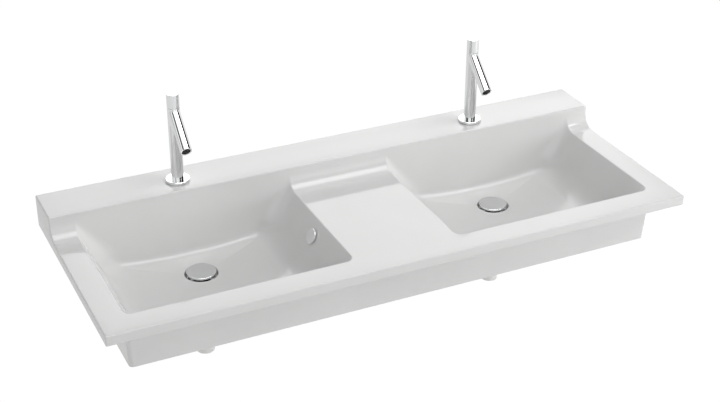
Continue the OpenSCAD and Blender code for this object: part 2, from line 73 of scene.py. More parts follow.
class Skin:
    """Collects points and faces in millimetres, and welds them into one mesh."""

    def __init__(self):
        self.points, self.faces = [], []

    def add(self, p):
        self.points.append(tuple(p))
        return len(self.points) - 1

    def polygon(self, pts):
        self.faces.append([self.add(p) for p in pts])

    def band(self, a, b, closed=True):
        """Quads between two rows of as many points."""
        ia, ib = [self.add(p) for p in a], [self.add(p) for p in b]
        n = len(a)
        for i in range(n if closed else n - 1):
            k = (i + 1) % n
            self.faces.append([ia[i], ia[k], ib[k], ib[i]])

    def build(self, name):
        mesh = bpy.data.meshes.new(name)
        bm = bmesh.new()
        vs = [bm.verts.new(Vector(p) * MM) for p in self.points]
        bm.verts.ensure_lookup_table()
        for f in self.faces:
            bm.faces.new([vs[i] for i in f])
        bmesh.ops.remove_doubles(bm, verts=bm.verts, dist=WELD * MM)
        bmesh.ops.dissolve_degenerate(bm, edges=bm.edges, dist=WELD * MM)
        bmesh.ops.recalc_face_normals(bm, faces=bm.faces)
        bm.to_mesh(mesh)
        bm.free()
        return add_object(name, mesh)


def add_object(name, mesh):
    obj = bpy.data.objects.new(name, mesh)
    bpy.context.scene.collection.objects.link(obj)
    return obj


def eased(profile, closed):
    """Rounds the corners of a profile whose points are (radius, height) or (radius, height, rounding)."""
    out, n, lead = [], len(profile), 0.08
    for i, p in enumerate(profile):
        if len(p) < 3 or (not closed and i in (0, n - 1)):
            out.append(p[:2])
            continue
        before, here, after = Vector(profile[i - 1][:2]), Vector(p[:2]), Vector(profile[(i + 1) % n][:2])
        u, v = (before - here).normalized(), (after - here).normalized()
        half = u.angle(v) / 2
        d = min(p[2] / math.tan(half), 0.45 * (before - here).length, 0.45 * (after - here).length)
        r = d * math.tan(half)
        centre = here + (u + v).normalized() * (r / math.sin(half))
        start, end = here + u * d, here + v * d
        out.append(tuple(start + u * lead * d))
        for k in range(6):
            out.append(tuple(centre + (start.lerp(end, k / 5) - centre).normalized() * r))
        out.append(tuple(end + v * lead * d))
    return out


def lathe(name, profile, origin=(0, 0, 0), axis=None, steps=96, closed=False):
    """A turned piece: the profile ends on the axis, or with closed it is a loop beside the axis."""
    skin = Skin()
    turn = axis or Matrix.Identity(3)
    rings = []
    for r, z in eased(profile, closed):
        rings.append([Vector(origin) + turn @ Vector((r * math.cos(a), r * math.sin(a), z))
                      for a in (2 * math.pi * i / steps for i in range(steps))])
    for a, b in zip(rings, rings[1:] + (rings[:1] if closed else [])):
        skin.band(a, b)
    return skin.build(name)


def apply_modifier(obj, mod):
    """Gives the object the mesh that its modifier makes, and removes the modifier."""
    bpy.context.view_layer.update()
    done = bpy.data.meshes.new_from_object(obj.evaluated_get(bpy.context.evaluated_depsgraph_get()))
    obj.modifiers.remove(mod)
    obj.data = done
    return obj


def cut(obj, tool, operation="DIFFERENCE"):
    """Applies an exact Boolean of tool on obj and removes tool."""
    mod = obj.modifiers.new("cut", "BOOLEAN")
    mod.operation, mod.object, mod.solver = operation, tool, "EXACT"
    apply_modifier(obj, mod)
    bpy.data.objects.remove(tool)
    return obj


def cylinder(name, r, z0, z1, at=(0, 0, 0), axis=None, steps=96):
    return lathe(name, [(0, z0), (r, z0), (r, z1), (0, z1)], at, axis, steps)


def tube(name, r_out, r_in, z0, z1, ease=0.4):
    return lathe(name, [(r_in, z0, ease), (r_out, z0, ease), (r_out, z1, ease), (r_in, z1, ease)], closed=True)


def joined(name, parts):
    """One object out of several, which are removed."""
    bm = bmesh.new()
    for part in parts:
        bm.from_mesh(part.data)
        bpy.data.objects.remove(part)
    mesh = bpy.data.meshes.new(name)
    bm.to_mesh(mesh)
    bm.free()
    return add_object(name, mesh)


def hex_nut(name, corner_r, hole_r, z0, z1):
    """A hexagon nut with chamfered corners and a hole that is countersunk on both sides."""
    skin = Skin()
    pts = [(corner_r * math.cos(a), corner_r * math.sin(a)) for a in (math.radians(60 * i) for i in range(6))]
    rows = [[Vector((x, y, z)) for x, y in pts] for z in (z0, z1)]
    skin.band(*rows)
    skin.polygon(rows[0])
    skin.polygon(rows[1])
    nut = skin.build(name)
    flat_r, drop, beyond = corner_r * 0.9, corner_r * 0.08, corner_r + 0.5
    cut(nut, lathe("turned", [(0, z0), (flat_r, z0), (beyond, z0 + drop), (beyond, z1 - drop),
                              (flat_r, z1), (0, z1)]), "INTERSECT")
    sink_r = hole_r + 1.8
    return cut(nut, lathe("hole", [(0, z0 - 1), (sink_r, z0 - 1), (hole_r, z0 + 0.8), (hole_r, z1 - 0.8),
                                   (sink_r, z1 + 1), (0, z1 + 1)]))


def soften(obj):
    """Smooth shading that stays crisp at sharp edges."""
    obj.data.shade_smooth()
    obj.data.set_sharp_from_angle(angle=CRISP_ANGLE)


# ---------------------------------------------------------------- the ceramic basin

# Points along the stretches of a bowl's outline, from the back left round the front and home
FOOT_STEPS = 16
N_SIDE, N_CORNER, N_FRONT, N_BACK = 14, 12, 18, 26
N_FOOT = FOOT_STEPS + 1
N_FLAT = 2 * (N_CORNER + 1) + N_FRONT - 1
BACK_START = 2 * (N_FOOT + N_SIDE - 1) + N_FLAT
N_EDGE = BACK_START + N_BACK - 1

# The eased edge of a bowl, thinner where it climbs the deck's foot, and the flat lip drawn round it
ARRIS, ARRIS_THIN, ARRIS_CLIMB, LIP = 2.6, 0.12, 9, 0.9

# The straight wall ends at a share of the depth, and a fillet leads on to the floor
WALL_SHARE, FILLET_R, FILLET_END = 0.64, 65.0, math.radians(87)
CORNER_FULL, CORNER_LEAST = 57.0, 0.6
BACK_LEAN, BACK_SLOPE, BACK_FILLET_R = 5.0, math.radians(2.7), 15.0

# The floor's outline: where it starts, how long and wide it is, and how much its back corners rise
FLOOR_Y, FLOOR_L, FLOOR_HALF, CORNER_RISE = -121.0, 223.0, 152.0, 9.0


def foot_point(i):
    """Point i on the hollow curve at the deck's foot, from the deck down to the rim."""
    a = math.pi / 2 * i / FOOT_STEPS
    return (-DECK_D - FOOT_R + FOOT_R * math.cos(a), FOOT_R - FOOT_R * math.sin(a))


def inset_at(depth, full, slope, radius):
    """How far in from the opening's edge a wall stands at a depth, its floor fillet included."""
    arc_drop = radius * (math.cos(FLOOR_SLOPE) - math.sin(slope))
    start = full - arc_drop
    if depth <= start:
        return depth * math.tan(slope)
    s = min(math.sin(slope) + (depth - start) / radius, math.cos(FLOOR_SLOPE))
    return start * math.tan(slope) + radius * (math.cos(slope) - math.sqrt(max(0.0, 1 - s * s)))


def side_inset(share):
    return inset_at(share * SIDE_DEPTH, SIDE_DEPTH, SIDE_SLOPE, FILLET_R)


def front_inset(share):
    return inset_at(share * FRONT_DEPTH, FRONT_DEPTH, FRONT_SLOPE, FILLET_R)


def arc_points(cx, cy, rx, ry, a0, a1, n):
    return [(cx + rx * math.cos(math.radians(a0 + (a1 - a0) * i / n)),
             cy + ry * math.sin(math.radians(a0 + (a1 - a0) * i / n))) for i in range(n + 1)]


def line_points(p, q, n):
    """Points strictly between p and q."""
    return [(p[0] + (q[0] - p[0]) * i / n, p[1] + (q[1] - p[1]) * i / n) for i in range(1, n)]


def section(half, front, back, rx, ry_front, ry_back):
    """A bowl's outline at one level, from the back left round the front to the back right and home."""
    pts = arc_points(-half + rx, back - ry_back, rx, ry_back, 90, 180, FOOT_STEPS)
    pts += line_points((-half, back - ry_back), (-half, front + ry_front), N_SIDE)
    pts += arc_points(-half + rx, front + ry_front, rx, ry_front, 180, 270, N_CORNER)
    pts += line_points((-half + rx, front), (half - rx, front), N_FRONT)
    pts += arc_points(half - rx, front + ry_front, rx, ry_front, 270, 360, N_CORNER)
    pts += line_points((half, front + ry_front), (half, back - ry_back), N_SIDE)
    pts += arc_points(half - rx, back - ry_back, rx, ry_back, 0, 90, FOOT_STEPS)
    pts += line_points((half - rx, back), (-half + rx, back), N_BACK)
    return pts


def floor_depth(x, y):
    """Depth of the floor's outline under the rim."""
    back = BACK_DEPTH - CORNER_RISE * min(1.0, abs(x) / FLOOR_HALF) ** 2
    t = min(1.0, max(0.0, (FLOOR_Y - y) / FLOOR_L))
    return back + (FRONT_DEPTH - back) * t


def level_section(share):
    """The outline at a share of the full depth, once the corners have their full radius."""
    us, uf, lean = side_inset(share), front_inset(share), BACK_LEAN * share
    ub = lean + max(0.0, inset_at(share * BACK_DEPTH, BACK_DEPTH, BACK_SLOPE, BACK_FILLET_R) - lean)
    rx = max(CORNER_LEAST, CORNER_FULL - (us - side_inset(WALL_SHARE)))
    ry_front = max(CORNER_LEAST, CORNER_FULL - (uf - front_inset(WALL_SHARE)))
    ry_back = max(CORNER_LEAST, CORNER_FULL - (ub - BACK_LEAN * WALL_SHARE))
    return section(BOWL_HALF - us, -DECK_D - BOWL_L + uf, -DECK_D - ub, rx, ry_front, ry_back)


def opening_edge():
    """The bowl's edge in space: on the rim, up the deck's foot and along the deck's face."""
    flat = section(BOWL_HALF, -DECK_D - BOWL_L, -DECK_D, CORNER_R, CORNER_R, 0.001)
    pts = [Vector((-BOWL_HALF, *foot_point(i))) for i in range(N_FOOT)]
    a = (-BOWL_HALF, foot_point(FOOT_STEPS)[0])
    b = (-BOWL_HALF, -DECK_D - BOWL_L + CORNER_R)
    pts += [Vector((x, y, 0)) for x, y in line_points(a, b, N_SIDE)]
    k = N_FOOT + N_SIDE - 1
    pts += [Vector((x, y, 0)) for x, y in flat[k:k + N_FLAT]]
    pts += [Vector((-p.x, p.y, 0)) for p in reversed(pts[N_FOOT:k])]
    pts += [Vector((BOWL_HALF, *foot_point(FOOT_STEPS - i))) for i in range(N_FOOT)]
    pts += [Vector((x, -DECK_D, FOOT_R)) for x, _ in line_points((BOWL_HALF, 0), (-BOWL_HALF, 0), N_BACK)]
    return pts


def outward(p, j):
    """Direction away from the bowl on the surface round it, at point j of its edge."""
    if j < N_FOOT + N_SIDE - 1:
        return Vector((-1, 0, 0))
    if j >= BACK_START:
        return Vector((0, 0, 1))
    if j >= BACK_START - N_FOOT - (N_SIDE - 1):
        return Vector((1, 0, 0))
    cx = max(-BOWL_HALF + CORNER_R, min(BOWL_HALF - CORNER_R, p.x))
    d = Vector((p.x - cx, p.y - (-DECK_D - BOWL_L + CORNER_R), 0))
    return d.normalized()


def arris_at(j):
    """Size of the eased edge at point j: full round the rim, and thinning out up the deck's foot."""
    if j >= BACK_START:
        return ARRIS * ARRIS_THIN
    return ARRIS * min(1.0, ARRIS_THIN + min(j, BACK_START - 1 - j) / ARRIS_CLIMB)


def bowl_rows():
    """Rows of points from the surface round the bowl, over its edge and down to the floor's outline."""
    edge = opening_edge()
    floor = [floor_depth(x, y) for x, y in level_section(1.0)]

    def level_row(share):
        return [Vector((x, y, -floor[j] * share)) for j, (x, y) in enumerate(level_section(share))]

    wall_foot = level_row(WALL_SHARE)
    size = [arris_at(j) for j in range(N_EDGE)]
    out = [outward(edge[j], j) for j in range(N_EDGE)]
    down = [(wall_foot[j] - edge[j]).normalized() for j in range(N_EDGE)]
    rows = [[edge[j] + out[j] * (size[j] + LIP) for j in range(N_EDGE)]]
    for t in (step / 6 for step in range(7)):
        rows.append([edge[j] + out[j] * size[j] * (1 - t) ** 2 + down[j] * size[j] * t ** 2
                     for j in range(N_EDGE)])
    for share in (0.07, 0.18, 0.3, 0.42, 0.53, WALL_SHARE):
        rows.append([edge[j].lerp(wall_foot[j], share / WALL_SHARE) for j in range(N_EDGE)])
    steps, start = 16, math.sin(SIDE_SLOPE)
    for k in range(1, steps + 1):
        theta = SIDE_SLOPE + (FILLET_END - SIDE_SLOPE) * k / steps
        drop = (math.sin(theta) - start) / (math.sin(FILLET_END) - start)
        rows.append(level_row(WALL_SHARE + (1 - WALL_SHARE) * drop))
    return rows


def floor_rows(last):
    """The floor from its outline to the recess, falling evenly to the drain."""
    count, steps, recess_r = len(last), 14, 43.0
    circle = []
    for p in last:
        a = math.atan2(p.y - DRAIN_Y, p.x)
        circle.append(Vector((recess_r * math.cos(a), DRAIN_Y + recess_r * math.sin(a), DRAIN_Z)))
    grid = np.array([[list(p.lerp(circle[j], k / steps)) for j, p in enumerate(last)]
                     for k in range(steps + 1)])
    index = np.arange((steps - 1) * count).reshape(steps - 1, count)
    matrix, fixed = np.zeros((index.size, index.size)), np.zeros(index.size)
    for k in range(1, steps):
        for j in range(count):
            row, here = index[k - 1, j], grid[k, j, :2]
            for kk, jj in ((k - 1, j), (k + 1, j), (k, (j - 1) % count), (k, (j + 1) % count)):
                pull = 1 / max(0.01, float(np.sum((grid[kk, jj, :2] - here) ** 2)))
                matrix[row, row] += pull
                if 0 < kk < steps:
                    matrix[row, index[kk - 1, jj]] -= pull
                else:
                    fixed[row] += pull * grid[kk, jj, 2]
    grid[1:steps, :, 2] = np.linalg.solve(matrix, fixed).reshape(steps - 1, count)
    return [[Vector(p) for p in row] for row in grid[1:]]


def recess_rows(circle):
    """The recess round the waste: a soft lip, an upright wall and the ledge that the flange lies on."""
    angles = [math.atan2(p.y - DRAIN_Y, p.x) for p in circle]
    lip_r, lip, wall_r, cove, ledge_r = 38.6, 3.2, 35.4, 1.5, 24
    profile = [(lip_r - lip * math.sin(a), DRAIN_Z - lip * (1 - math.cos(a)))
               for a in map(math.radians, range(0, 85, 12))]
    profile += [(wall_r - cove * (1 - math.cos(a)), LEDGE_Z + cove * (1 - math.sin(a)))
                for a in map(math.radians, (0, 30, 60, 90))]
    profile += [(ledge_r, LEDGE_Z)]
    return [[Vector((r * math.cos(a), DRAIN_Y + r * math.sin(a), z)) for a in angles] for r, z in profile]


def basin_body():
    """The casting as a solid block with both bowls, before its underside is hollowed."""
    skin = Skin()
    rows = bowl_rows()
    rows += floor_rows(rows[-1])
    rows += recess_rows(rows[-1])
    for s in SIDES:
        moved = [[p + Vector((s * BOWL_X, 0, 0)) for p in row] for row in rows]
        for a, b in zip(moved, moved[1:]):
            skin.band(a, b)
        skin.polygon(moved[-1])
    lip = {s: [p + Vector((s * BOWL_X, 0, 0)) for p in rows[0]] for s in SIDES}
    left = {s: lip[s][:N_FOOT] for s in SIDES}
    right = {s: list(reversed(lip[s][BACK_START - N_FOOT:BACK_START])) for s in SIDES}
    back = {s: list(reversed(lip[s][BACK_START:])) for s in SIDES}
    low = {s: lip[s][N_FOOT - 1:BACK_START - N_FOOT + 1] for s in SIDES}
    x_end = HALF_W - EDGE_R

    # profile of the block along X: (y, z) with the direction in which its ends are rounded
    arc = [math.radians(15 * i) for i in range(7)]
    profile = [((0, DECK_H), (0, -1))]
    profile += [((-DECK_D + EDGE_R - EDGE_R * math.sin(a), DECK_H - EDGE_R + EDGE_R * math.cos(a)),
                 (math.sin(a), -math.cos(a))) for a in arc]
    top_end = len(profile) - 1
    for i in range(N_FOOT):
        a = math.pi / 2 * i / FOOT_STEPS
        profile.append((foot_point(i), (math.cos(a), -math.sin(a))))
    foot_end = len(profile) - 1
    profile += [((-DEPTH + EDGE_R - EDGE_R * math.sin(a), -EDGE_R + EDGE_R * math.cos(a)),
                 (math.sin(a), -math.cos(a))) for a in arc]
    profile += [((-DEPTH + EDGE_R - EDGE_R * math.cos(a), -RIM_T + EDGE_R - EDGE_R * math.sin(a)),
                 (math.cos(a), math.sin(a))) for a in arc]
    profile += [((0, -RIM_T), (0, 1))]

    def end_row(s, angle):
        x = s * (x_end + EDGE_R * math.sin(angle))
        k = EDGE_R * (1 - math.cos(angle))
        return [Vector((x, p[0] + d[0] * k, p[1] + d[1] * k)) for p, d in profile]

    ends = {s: [end_row(s, a) for a in arc] for s in SIDES}
    for s in SIDES:
        for a, b in zip(ends[s], ends[s][1:]):
            skin.band(a, b, closed=False)
        skin.polygon(ends[s][-1])
    l, r = ends[-1][0], ends[1][0]
    plain = [i for i in range(len(l) - 1) if not top_end <= i <= foot_end]
    for i in plain[:-1]:
        skin.polygon([l[i], l[i + 1], r[i + 1], r[i]])
    # the deck's face, its hollow foot beside and between the bowls, and the rim
    face = [l[top_end]] + [l[top_end + 1], left[-1][0]] + back[-1] + [right[-1][0], left[1][0]] + back[1]
    face += [right[1][0], r[top_end + 1], r[top_end]]
    skin.polygon(face)
    for i in range(FOOT_STEPS):
        a, b = top_end + 1 + i, top_end + 2 + i
        skin.polygon([l[a], l[b], left[-1][i + 1], left[-1][i]])
        skin.polygon([right[-1][i], right[-1][i + 1], left[1][i + 1], left[1][i]])
        skin.polygon([right[1][i], right[1][i + 1], r[b], r[a]])
    skin.polygon([l[foot_end + 1], l[foot_end]] + low[-1] + low[1] + [r[foot_end], r[foot_end + 1]])

    # the apron: drafted walls with rounded front corners, drawn too deep and cut off later
    below = -170

    def apron_outline(z):
        k = APRON_DRAFT * (-RIM_T - z) / (-RIM_T - APRON_Z)
        half, front, corner = APRON_X - k, APRON_Y + k, APRON_CORNER
        pts = [(-half, 0)] + arc_points(-half + corner, front + corner, corner, corner, 180, 270, 10)
        pts += arc_points(half - corner, front + corner, corner, corner, 270, 360, 10) + [(half, 0)]
        return [Vector((x, y, z)) for x, y in pts]

    top, low_edge = apron_outline(-RIM_T), apron_outline(below)
    skin.band(top, low_edge, closed=False)
    skin.polygon(low_edge)
    skin.polygon([l[-1], l[-2], r[-2], r[-1]] + list(reversed(top)))
    back_face = [row[0] for row in reversed(ends[-1])] + [row[0] for row in ends[1]]
    back_face += [row[-1] for row in reversed(ends[1])] + [top[-1], low_edge[-1], low_edge[0], top[0]]
    back_face += [row[-1] for row in ends[-1]]
    skin.polygon(back_face)
    return skin.build("basin_glazed")


def block(name, x0, x1, y0, y1, z0, z1, corner=0.0):
    """A box, or with corner a box whose upright edges are rounded."""
    if corner:
        cx, cy = (x1 - x0) / 2 - corner, (y1 - y0) / 2 - corner
        mid_x, mid_y = (x0 + x1) / 2, (y0 + y1) / 2
        pts = []
        for k, (sx, sy) in enumerate(((1, 1), (-1, 1), (-1, -1), (1, -1))):
            pts += arc_points(mid_x + sx * cx, mid_y + sy * cy, corner, corner, 90 * k, 90 * k + 90, 8)
    else:
        pts = [(x1, y1), (x0, y1), (x0, y0), (x1, y0)]
    skin = Skin()
    low, high = [Vector((x, y, z0)) for x, y in pts], [Vector((x, y, z1)) for x, y in pts]
    skin.band(low, high)
    skin.polygon(low)
    skin.polygon(high)
    return skin.build(name)


def bowl_underside(s):
    """The outer form of a bowl, a wall's thickness outside its inner one."""
    skin, rows = Skin(), []
    top, corner_least, top_extra, back_thinner = 12, 14.0, 0.6, 0.7
    floor = [floor_depth(x, y) for x, y in level_section(1.0)]
    for share in (0.0, 0.2, 0.4, WALL_SHARE, 0.75, 0.84, 0.9, 0.95, 0.98, 1.0):
        us, uf, ub = side_inset(share), front_inset(share), BACK_LEAN * share
        corner = CORNER_R + WALL + (CORNER_FULL - CORNER_R) * min(1.0, share / WALL_SHARE)
        if share > WALL_SHARE:
            corner = max(corner_least, corner - (us - side_inset(WALL_SHARE)))
        grow = WALL + top_extra * (1 - share)
        front, back = -DECK_D - BOWL_L + uf - grow, -DECK_D - ub + WALL - back_thinner
        outline = section(BOWL_HALF - us + grow, front, back, corner, corner, corner)
        rows.append([Vector((x + s * BOWL_X, y, -top - (floor[j] + WALL - top) * share))
                     for j, (x, y) in enumerate(outline)])
    for a, b in zip(rows, rows[1:]):
        skin.band(a, b)
    skin.polygon(rows[0])
    skin.polygon(rows[-1])
    return skin.build("bowl_outer")


def make_basin():
    """The finished ceramic: hollowed from below but for the bowls, and drilled."""
    body = basin_body()
    half, front = APRON_X - APRON_DRAFT - WALL, APRON_Y + APRON_DRAFT + WALL
    deck_top, apart = DECK_H - 16, 0.1
    void = block("void", -HALF_W - 50, HALF_W + 50, -DEPTH - 60, 60, -220, APRON_Z)
    cut(void, block("space", -half, half, front, -WALL, -160, -RIM_T, APRON_CORNER - WALL / 2), "UNION")
    cut(void, block("deck_space", -half + apart, half - apart, WALL - DECK_D, -WALL - apart, -80, deck_top),
        "UNION")
    for s in SIDES:
        cut(void, bowl_underside(s))
        cut(void, cylinder("plate", 60, -135, -90, (s * BOWL_X, DRAIN_Y, 0)))
        cut(void, cylinder("boss", 40, -150, -88, (s * BOWL_X, DRAIN_Y, 0)))
    cut(body, void)
    for s in SIDES:
        cut(body, cylinder("drain_hole", 23, -240, -100, (s * BOWL_X, DRAIN_Y, 0)))
        cut(body, cylinder("tap_hole", 17.5, 20, 60, (s * BOWL_X, TAP_Y, 0)))
        tilt, hole = Matrix.Rotation(s * OVERFLOW_TILT, 3, "Y"), (s * OVERFLOW_HOLE_X, OVERFLOW_Y, OVERFLOW_Z)
        cut(body, cylinder("overflow_hole", 12.5, -33, 11, hole, tilt, 64))
    level = Matrix.Rotation(math.radians(90), 3, "X")
    for i in (-1.5, -0.5, 0.5, 1.5):
        cut(body, cylinder("wall_hole", 8, -6, 14, (i * WALL_HOLE_PITCH, 0, WALL_HOLE_Z), level, 48))
    return body


# ---------------------------------------------------------------- materials

def new_material(name):
    mat = bpy.data.materials.new(name)
    mat.use_nodes = True
    tree = mat.node_tree
    return mat, tree, tree.nodes["Principled BSDF"]


def set_inputs(node, **values):
    """Sets a node's inputs by name, with an underscore for each space."""
    for label, value in values.items():
        node.inputs[label.replace("_", " ")].default_value = value
    return node


def add_node(tree, kind, **values):
    return set_inputs(tree.nodes.new("ShaderNode" + kind), **values)


def math_node(tree, operation, second=0.5):
    node = add_node(tree, "Math")
    node.operation, node.inputs[1].default_value = operation, second
    return node


def tone(tree, shader, noise, dark, light, start=0.0, end=1.0):
    """Lets a noise lead the colour from one tone to the other."""
    ramp = add_node(tree, "ValToRGB")
    for stop, place, colour in zip(ramp.color_ramp.elements, (start, end), (dark, light)):
        stop.position, stop.color = place, (*colour, 1)
    tree.links.new(noise.outputs["Fac"], ramp.inputs["Fac"])
    tree.links.new(ramp.outputs["Color"], shader.inputs["Base Color"])


def grain(tree, shader, noise, strength, height):
    """Lets a noise raise and lower the surface a little."""
    bump = add_node(tree, "Bump", Strength=strength, Distance=height)
    tree.links.new(noise.outputs["Fac"], bump.inputs["Height"])
    tree.links.new(bump.outputs["Normal"], shader.inputs["Normal"])


def glaze():
    """White vitreous glaze: glossy, with a faint waviness and slight clouding of its white."""
    mat, tree, shader = new_material("white_glaze")
    coord = add_node(tree, "TexCoord")
    cloud = add_node(tree, "TexNoise", Scale=6.0, Detail=3.0)
    wave = add_node(tree, "TexNoise", Scale=22.0, Detail=1.0)
    for noise in (cloud, wave):
        tree.links.new(coord.outputs["Object"], noise.inputs["Vector"])
    tone(tree, shader, cloud, (0.748, 0.747, 0.743), (0.773, 0.772, 0.768), 0.3, 0.7)
    grain(tree, shader, wave, 0.05, 0.0004)
    set_inputs(shader, Roughness=0.09, IOR=1.52)
    return mat


def metal(name, dark, light, roughness, spread=0.03, scale=60.0, stretch=(1, 1, 1)):
    """A metal whose tone and polish vary a little over its surface."""
    mat, tree, shader = new_material(name)
    link = tree.links.new
    coord = add_node(tree, "TexCoord")
    mapping = add_node(tree, "Mapping", Scale=stretch)
    noise = add_node(tree, "TexNoise", Scale=scale, Detail=4.0)
    rough = add_node(tree, "MapRange", To_Min=roughness, To_Max=roughness + spread)
    link(coord.outputs["Object"], mapping.inputs["Vector"])
    link(mapping.outputs["Vector"], noise.inputs["Vector"])
    link(noise.outputs["Fac"], rough.inputs["Value"])
    link(rough.outputs["Result"], shader.inputs["Roughness"])
    tone(tree, shader, noise, dark, light)
    set_inputs(shader, Metallic=1.0)
    return mat


def plain(name, dark, light, roughness, scale, specular=0.5):
    """Rubber or moulded plastic with a fine grain."""
    mat, tree, shader = new_material(name)
    coord = add_node(tree, "TexCoord")
    noise = add_node(tree, "TexNoise", Scale=scale)
    tree.links.new(coord.outputs["Object"], noise.inputs["Vector"])
    tone(tree, shader, noise, dark, light)
    grain(tree, shader, noise, 0.3, 0.0001)
    set_inputs(shader, Roughness=roughness, Specular_IOR_Level=specular)
    return mat


GLAZE = glaze()
CHROME = metal("polished_chrome", (0.83, 0.835, 0.84), (0.87, 0.875, 0.88), 0.03, 0.02)
BRASS = metal("machined_brass", (0.60, 0.43, 0.18), (0.74, 0.56, 0.27), 0.22, 0.12, 40.0, (1, 1, 12))
STEEL = metal("turned_steel", (0.50, 0.50, 0.51), (0.66, 0.66, 0.67), 0.25, 0.12, 40.0, (1, 1, 12))
RUBBER = plain("black_rubber", (0.02, 0.02, 0.02), (0.045, 0.045, 0.045), 0.65, 300.0)
DARK = plain("dark_moulding", (0.012, 0.012, 0.014), (0.03, 0.03, 0.033), 0.45, 200.0, 0.2)
WHITE = plain("white_moulding", (0.82, 0.82, 0.80), (0.87, 0.87, 0.85), 0.3, 120.0)
BY_SLOT = {"ceramic": GLAZE, "chrome": CHROME, "brass": BRASS, "steel": STEEL,
           "rubber": RUBBER, "dark_plastic": DARK, "white_plastic": WHITE}


def dress_nodes():
    """Gives every carried-over solid the finish of its material slot."""
    for part in frame["record"]["subparts"]:
        materials = NODES[part["node"]].data.materials
        materials.clear()
        materials.append(BY_SLOT[part["material_slot"]])


# ---------------------------------------------------------------- repeated pieces

def repeat_tree():
    """The node tree that repeats a piece round the Z axis and along it."""
    tree = bpy.data.node_groups.new("repeat_round_and_along", "GeometryNodeTree")
    face = tree.interface
    face.new_socket("Geometry", in_out="INPUT", socket_type="NodeSocketGeometry")
    for label, kind in (("Count", "Int"), ("Radius", "Float"), ("Levels", "Int"), ("Pitch", "Float"),
                        ("Material", "Material")):
        face.new_socket(label, in_out="INPUT", socket_type="NodeSocket" + kind)
    face.new_socket("Geometry", in_out="OUTPUT", socket_type="NodeSocketGeometry")
    new, link = tree.nodes.new, tree.links.new
    start, end = new("NodeGroupInput"), new("NodeGroupOutput")
    stack = new("GeometryNodeMeshLine")
    climb = new("ShaderNodeCombineXYZ")
    upward = new("GeometryNodeInstanceOnPoints")
    points, index = new("GeometryNodePoints"), new("GeometryNodeInputIndex")
    turn, share = new("ShaderNodeMath"), new("ShaderNodeMath")
    turn.operation, share.operation = "MULTIPLY", "DIVIDE"
    turn.inputs[1].default_value = 2 * math.pi
    angle, out_there = new("ShaderNodeCombineXYZ"), new("ShaderNodeCombineXYZ")
    spin = new("ShaderNodeVectorRotate")
    spin.rotation_type = "Z_AXIS"
    around, whole, paint = (new("GeometryNodeInstanceOnPoints"), new("GeometryNodeRealizeInstances"),
                            new("GeometryNodeSetMaterial"))
    link(start.outputs["Levels"], stack.inputs["Count"])
    link(start.outputs["Pitch"], climb.inputs["Z"])
    link(climb.outputs[0], stack.inputs["Offset"])
    link(stack.outputs[0], upward.inputs["Points"])
    link(start.outputs["Geometry"], upward.inputs["Instance"])
    link(index.outputs[0], turn.inputs[0])
    link(turn.outputs[0], share.inputs[0])
    link(start.outputs["Count"], share.inputs[1])
    link(share.outputs[0], angle.inputs["Z"])
    link(start.outputs["Radius"], out_there.inputs["X"])
    link(out_there.outputs[0], spin.inputs["Vector"])
    link(share.outputs[0], spin.inputs["Angle"])
    link(start.outputs["Count"], points.inputs["Count"])
    link(spin.outputs[0], points.inputs["Position"])
    link(points.outputs[0], around.inputs["Points"])
    link(upward.outputs[0], around.inputs["Instance"])
    link(angle.outputs[0], around.inputs["Rotation"])
    link(around.outputs[0], whole.inputs[0])
    link(whole.outputs[0], paint.inputs["Geometry"])
    link(start.outputs["Material"], paint.inputs["Material"])
    link(paint.outputs[0], end.inputs[0])
    return tree


REPEAT = repeat_tree()


def repeated(obj, material, count=1, radius=0.0, levels=1, pitch=0.0):
    """The object's mesh repeated by the tree above; lengths in millimetres."""
    mod = obj.modifiers.new("repeat", "NODES")
    mod.node_group = REPEAT
    wanted = {"Count": count, "Radius": radius * MM, "Levels": levels, "Pitch": pitch * MM,
              "Material": material}
    for item in REPEAT.interface.items_tree:
        if item.in_out == "INPUT" and item.name in wanted:
            mod[item.identifier] = wanted[item.name]
    return apply_modifier(obj, mod)


def thread(name, material, radius, z0, z1, pitch=1.8):
    """Thread ridges, each a closed ring whose foot is at the core's surface or just inside it."""
    depth, crest, gap = 0.8, 0.12, 0.05
    ridge = lathe(name, [(radius - depth - 0.1, z0 + gap), (radius, z0 + pitch / 2 - crest),
                         (radius, z0 + pitch / 2 + crest), (radius - depth - 0.1, z0 + pitch - gap)],
                  steps=72, closed=True)
    return repeated(ridge, material, levels=int((z1 - z0) / pitch), pitch=pitch)


# ---------------------------------------------------------------- fittings, in each fitting's own frame

COLUMN_R, COLUMN_TOP, TAP_H, SPOUT_R = 13.5, 173.1, 204.5, 12.5
REACH, OUTLET_H, ROOT_H = 70.5, 100.5, 164.5
RUN = math.hypot(REACH, ROOT_H - OUTLET_H)
SPOUT_ANGLE = math.pi - math.atan2(REACH, ROOT_H - OUTLET_H)
SPOUT_TURN = Matrix.Rotation(SPOUT_ANGLE, 3, "X")
MOUTH_TURN = Matrix.Rotation(SPOUT_ANGLE - math.radians(12), 3, "X")
MOUTH = (0, -REACH, OUTLET_H)
FINE = 128


def spout_root():
    """A slight swell where the spout leaves the column, a little narrower than it is high."""
    swell_r, top, squeeze = 9, 10.2 - RUN, 0.943
    swell = [(SPOUT_R + swell_r * (1 - math.cos(a)), 9.8 - swell_r * math.sin(a) - RUN)
             for a in map(math.radians, (22, 18, 14, 10, 6, 3, 0))]
    profile = [(0, 4.5 - RUN), (swell[0][0], 4.5 - RUN)] + swell + [(SPOUT_R - 0.1, top), (0, top)]
    root = lathe("spout_root", profile, MOUTH, SPOUT_TURN, FINE)
    for v in root.data.vertices:
        v.co.x *= squeeze
    return root


